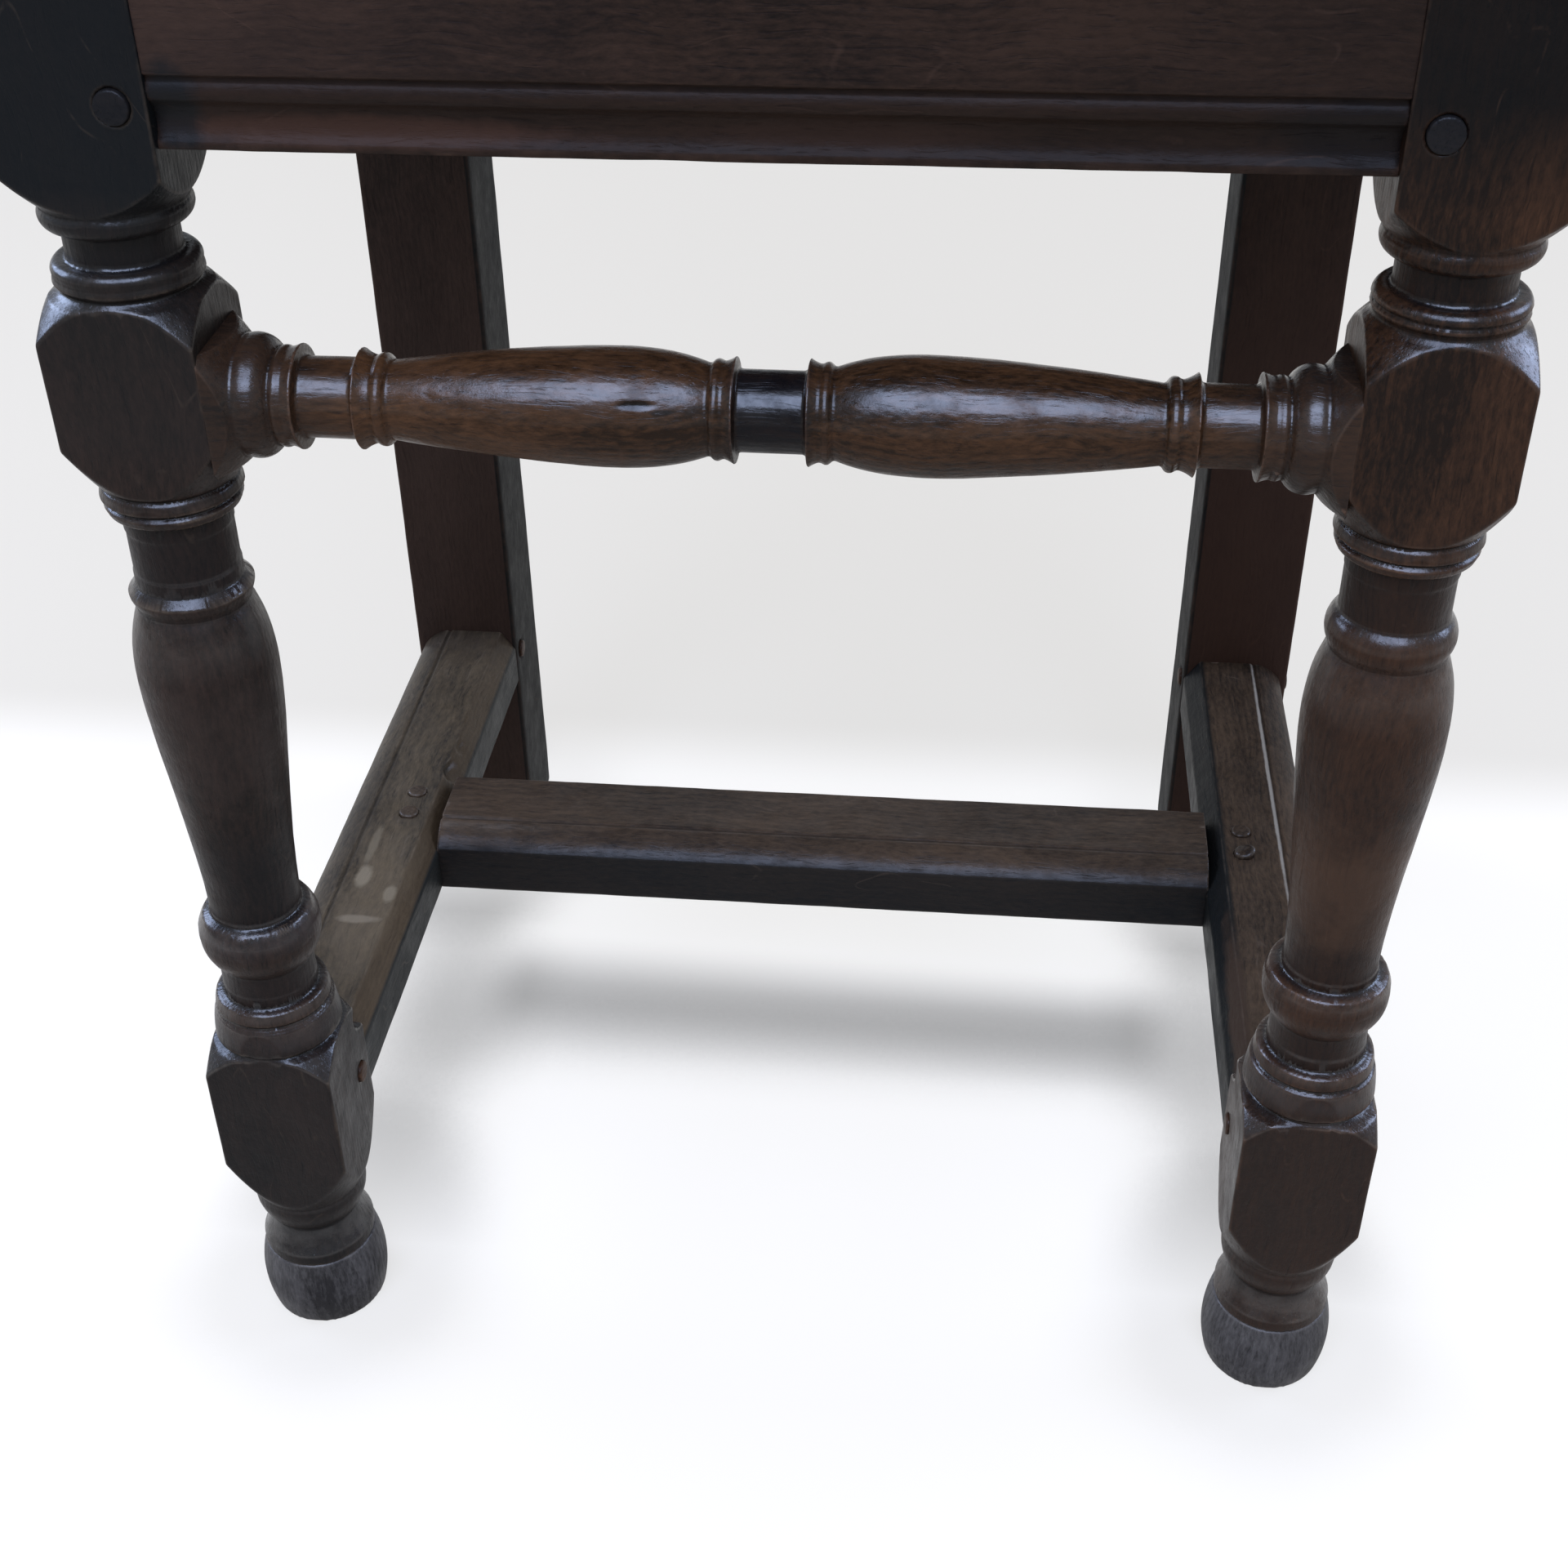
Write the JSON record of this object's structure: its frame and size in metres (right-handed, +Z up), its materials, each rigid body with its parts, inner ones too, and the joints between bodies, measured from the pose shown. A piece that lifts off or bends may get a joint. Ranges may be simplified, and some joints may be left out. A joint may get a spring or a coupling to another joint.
{
  "type": "wainscot chair",
  "caption": "Joined wainscot side chair with turned front posts, a turned high stretcher, low moulded stretchers, a boarded seat and a raked back of fielded panels under an arched crest.",
  "frame": {"origin": "middle of the chair's footprint on the floor", "axes": "+Z up, the chair faces -Y, +X to the right as seen from the front"},
  "size_m": [0.433, 0.4126, 1.078],
  "materials": {
    "turned_oak": "waxed dark oak, satin",
    "frame_oak": "waxed dark oak, satin",
    "board_oak": "waxed dark oak, satin, worn",
    "peg_oak": "riven oak, end grain"
  },
  "bodies": {
    "root": {"front_post_left": "turned_oak", "front_post_right": "turned_oak", "front_foot_left": "turned_oak", "front_foot_right": "turned_oak", "front_stretcher": "turned_oak", "back_post_left": "frame_oak", "back_post_right": "frame_oak", "front_seat_rail": "frame_oak", "back_seat_rail": "frame_oak", "side_seat_rail_left": "frame_oak", "side_seat_rail_right": "frame_oak", "side_stretcher_left": "frame_oak", "side_stretcher_right": "frame_oak", "medial_stretcher": "frame_oak", "back_lower_rail": "frame_oak", "back_middle_rail": "frame_oak", "crest_rail": "frame_oak", "seat_board_front": "board_oak", "seat_board_rear": "board_oak", "back_panel_lower": "board_oak", "back_panel_upper": "board_oak", "front_rail_pegs": "peg_oak", "side_rail_pegs": "peg_oak", "back_rail_pegs": "peg_oak", "front_stretcher_pegs": "peg_oak", "side_stretcher_pegs": "peg_oak", "medial_stretcher_pegs": "peg_oak", "back_frame_pegs": "peg_oak", "seat_pegs": "peg_oak"}
  },
  "joints": []
}
